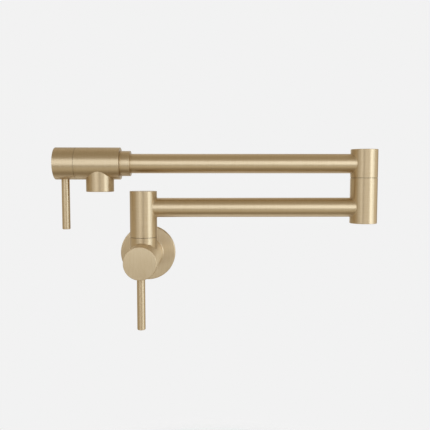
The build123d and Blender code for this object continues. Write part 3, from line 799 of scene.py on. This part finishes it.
def softbox(name, azimuths, elevations, radiance):
    """An area lamp facing the object, which fills a range of directions with one brightness.

    azimuths and elevations are in degrees. Each side is 2 * distance * tan(half its range), and
    the power is the radiance times the area times pi.
    """
    half_turns = [math.radians(high - low) / 2 for low, high in (azimuths, elevations)]
    width, height = (2 * softbox_distance * math.tan(half) for half in half_turns)
    brightest = max(radiance)
    lamp = bpy.data.lights.new(name, "AREA")
    lamp.shape, lamp.size, lamp.size_y = "RECTANGLE", width, height
    lamp.energy = brightest * width * height * math.pi
    lamp.color = [part / brightest for part in radiance]
    stand = bpy.data.objects.new(name, lamp)
    towards = direction(sum(azimuths) / 2, sum(elevations) / 2)
    stand.location = studio_centre + towards * softbox_distance
    stand.rotation_euler = towards.to_track_quat("Z", "Y").to_euler()
    bpy.context.scene.collection.objects.link(stand)
    print(name, "is", round(width, 2), "by", round(height, 2), "m, at", round(lamp.energy, 1), "W")


softbox("softbox_right", (38, 84), (-26, 24), radiance=(1.48, 1.83, 2.30))
softbox("softbox_left", (-66, -18), (-13, 37), radiance=(0.61, 0.71, 0.87))

# %% [markdown]
# The world is what a ray meets when it passes everything else. It could be white for all rays,
# but then it would also flood the object with light. So it is pale only for rays that come
# straight from the camera, off metal or through glass, and dimmer for diffuse light.

# %% The world shows as a plain pale background
background_white, room_light = 0.888, 0.5


def seen_directly(tree):
    """Return 1 for rays from the camera, off metal or through glass, and 0 for diffuse light."""
    rays = add(tree, "ShaderNodeLightPath").outputs
    seen = math_node(tree, "ADD", rays["Is Camera Ray"], rays["Is Glossy Ray"], clamp=True)
    return math_node(tree, "ADD", seen, rays["Is Transmission Ray"], clamp=True)


world = bpy.data.worlds.new("studio")
bpy.context.scene.world = world
world.use_nodes = True
sky = world.node_tree
extra = math_node(sky, "MULTIPLY", seen_directly(sky), background_white - room_light)
sky.links.new(math_node(sky, "ADD", extra, room_light), sky.nodes["Background"].inputs["Strength"])
sky.nodes["Background"].inputs["Color"].default_value = (1, 1, 1, 1)
print("background", background_white, "and room light", room_light)

# %% [markdown]
# The tent is part of a sphere that gives off light and that the camera doesn't see. Its pale
# panels are painted by direction: a point's azimuth and elevation are worked out from where it
# lies around the object, and each panel adds its light where both are in range. The tent is open
# in a narrow strip behind the object, where the metal shows the white background as well.

# %% Glowing cloth with pale panels
tent_cloth = (0.34, 0.30, 0.24)
panels = [
    # azimuths, elevations and soft rim in degrees, and the light that the panel adds
    ((-200, 200), (-57, 100), 10, (0.15, 0.14, 0.11)),    # all but the lowest part
    ((-35, 61), (-5, 29), 5, (0.93, 1.07, 1.29)),         # the pale panel in front
    ((-24, 24), (-9.5, -4), 5, (1.26, 1.46, 1.76)),       # its brighter lower hem
    ((-70, 70), (-48, -20), 12, (0.22, 0.23, 0.22)),      # from below, as off a table top
    ((-25, 80), (29, 52), 14, (0.14, 0.15, 0.17)),        # a soft step above the panel
    ((84, 118), (-50, 50), 6, (0.40, 0.42, 0.41)),        # for the columns' right rims
    ((-130, -70), (-50, 50), 6, (0.12, 0.11, 0.09)),      # for their left rims
    ((95, 200), (46, 68), 6, (0.17, 0.15, 0.13)),         # behind, for the arms' upper rims
    ((-200, -95), (46, 68), 6, (0.17, 0.15, 0.13)),       # and the same on the left
]


def within(tree, angle, limits, softness):
    """Return 1 for an angle in radians between two limits in degrees, and 0 outside them."""
    middle, half = math.radians(sum(limits) / 2), math.radians(limits[1] - limits[0]) / 2
    soft_half = math.radians(softness) / 2
    away = math_node(tree, "ABSOLUTE", math_node(tree, "SUBTRACT", angle, middle))
    return spread(tree, away, half - soft_half, half + soft_half, 1.0, 0.0)


def glowing(name, paint):
    """A material that only gives off light, in the colour that paint(tree) returns."""
    material, tree, shader = new_material(name)
    tree.nodes.remove(shader)
    glow = add(tree, "ShaderNodeEmission", {"Color": paint(tree), "Strength": 1.0})
    tree.links.new(glow.outputs[0], tree.nodes["Material Output"].inputs["Surface"])
    return material


def tent_colour(tree):
    """The cloth's own light, and each panel's where azimuth and elevation are in range.

    Azimuth is the angle whose tangent is x / -y, and elevation the one whose sine is z, of the
    unit vector from the object to the point.
    """
    place = add(tree, "ShaderNodeTexCoord").outputs["Object"]
    from_object = vector_node(tree, "SUBTRACT", place, tuple(studio_centre))
    parts = add(
        tree, "ShaderNodeSeparateXYZ", {0: vector_node(tree, "NORMALIZE", from_object)}
    ).outputs
    forwards = math_node(tree, "MULTIPLY", parts["Y"], -1.0)
    azimuth = math_node(tree, "ARCTAN2", parts["X"], forwards)
    elevation = math_node(tree, "ARCSINE", parts["Z"])
    colour = tent_cloth
    for azimuths, elevations, softness, light in panels:
        in_azimuth = within(tree, azimuth, azimuths, softness)
        in_elevation = within(tree, elevation, elevations, softness)
        share = math_node(tree, "MULTIPLY", in_azimuth, in_elevation)
        colour = vector_node(tree, "ADD", colour, blend_vectors(tree, share, (0, 0, 0), light))
    return colour


tent_finish = glowing("tent_cloth", tent_colour)
print("tent with", len(panels), "panels")

# %% [markdown]
# A whole sphere would close the strip behind the object, so the tent is hung in two pieces: one
# nearly all the way round, and a low one that closes only the foot of the strip.

# %% Hang the tent
tent_radius = 1.4
tent_left, tent_right = -165, 176                   # azimuths, in degrees
tent_foot, strip_foot, tent_top = -89, -20, 89      # elevations, in degrees
tent_columns, tent_rows = 67, 37


def hide_from_camera(piece):
    """Light the object with a piece that neither shows nor throws a shadow."""
    piece.visible_camera = False
    piece.visible_shadow = False


def tent_piece(name, azimuths, elevations):
    """Hang one part of the sphere, between two azimuths and two elevations in degrees.

    A point lies at (sin a cos e, -cos a cos e, sin e) times the tent's radius.
    """
    a = np.radians(np.linspace(*azimuths, tent_columns))[None, :]
    e = np.radians(np.linspace(*elevations, tent_rows))[:, None]
    x, y, z = np.sin(a) * np.cos(e), -np.cos(a) * np.cos(e), np.sin(e) + 0 * a
    points = np.array(studio_centre) + tent_radius * np.stack([x, y, z], axis=-1)
    piece = make_surface(name, points, tent_finish, wrap=(False, False))
    hide_from_camera(piece)


tent_piece("tent", (tent_left, tent_right), (tent_foot, tent_top))
tent_piece("tent_low_back", (tent_right, 360 + tent_left), (tent_foot, strip_foot))

# %% [markdown]
# A photographer and the camera are dimmer than the pale panel behind them, and brushed brass
# shows that as a soft dark line beside each column's middle. One upright card round the camera
# gives the same line.

# %% The dim card round the camera
card_light = (0.75, 0.78, 0.82)
card_centre, card_half_width, card_half_height = (0.045, -0.66, 0.06), 0.08, 0.35

sides, levels = np.array([[-1.0], [1.0]]), np.array([[-1.0, 1.0]])
card_points = np.array(card_centre) + np.stack(np.broadcast_arrays(
    card_half_width * sides, 0 * sides * levels, card_half_height * levels,
), axis=-1)
card_finish = glowing("card_cloth", lambda tree: (*card_light, 1))
card = make_surface("camera_card", card_points, card_finish, wrap=(False, False))
hide_from_camera(card)

# %% [markdown]
# The floor takes the object's shadow and lights it softly from below. An endless floor would
# meet the background in a hard line, so this one is a disc that turns clear towards its rim.
# Seen directly, it gives off a little light of its own, and its middle is as pale as the
# background.

# %% The floor, a table top that fades out at its rim
floor_depth, floor_radius, floor_behind = 0.80, 0.80, 0.62
fade_from, fade_to = 0.45, floor_radius - 0.02
floor_centre = studio_centre + Vector((0, floor_behind, 0))
floor_dark, floor_light, floor_grain = (0.78, 0.78, 0.78), (0.82, 0.82, 0.82), 9
grain_dark, grain_light, floor_roughness = 0.3, 0.7, 0.9
floor_glow = (0.303, 0.318, 0.353)
floor_rings, floor_sides = 9, 64


def floor_material():
    """Pale matt floor whose outer part turns clear, by the distance from its centre."""
    material, tree, shader = new_material("pale_floor")
    place = add(tree, "ShaderNodeTexCoord").outputs["Object"]
    from_centre = vector_node(tree, "SUBTRACT", place, tuple(floor_centre))
    distance = vector_node(tree, "LENGTH", vector_node(tree, "MULTIPLY", from_centre, (1, 1, 0)))
    grain = noise(tree, vector_node(tree, "MULTIPLY", place, (floor_grain,) * 3))
    colour = colour_ramp(tree, grain, (grain_dark, floor_dark), (grain_light, floor_light))
    tree.links.new(colour, shader.inputs["Base Color"])
    shader.inputs["Roughness"].default_value = floor_roughness
    tree.links.new(spread(tree, distance, fade_from, fade_to, 1.0, 0.0), shader.inputs["Alpha"])
    shader.inputs["Emission Color"].default_value = (*floor_glow, 1)
    tree.links.new(seen_directly(tree), shader.inputs["Emission Strength"])
    return material


ring_radii = np.linspace(0.0, floor_radius, floor_rings)[:, None]
ring_angles = np.linspace(0, 2 * np.pi, floor_sides + 1)[:-1][None, :]
floor_points = np.stack(np.broadcast_arrays(
    floor_centre[0] + ring_radii * np.cos(ring_angles),
    floor_centre[1] + ring_radii * np.sin(ring_angles),
    -floor_depth + 0 * ring_radii * ring_angles,
), axis=-1)
floor = make_surface("floor", floor_points, floor_material(), wrap=(False, True))
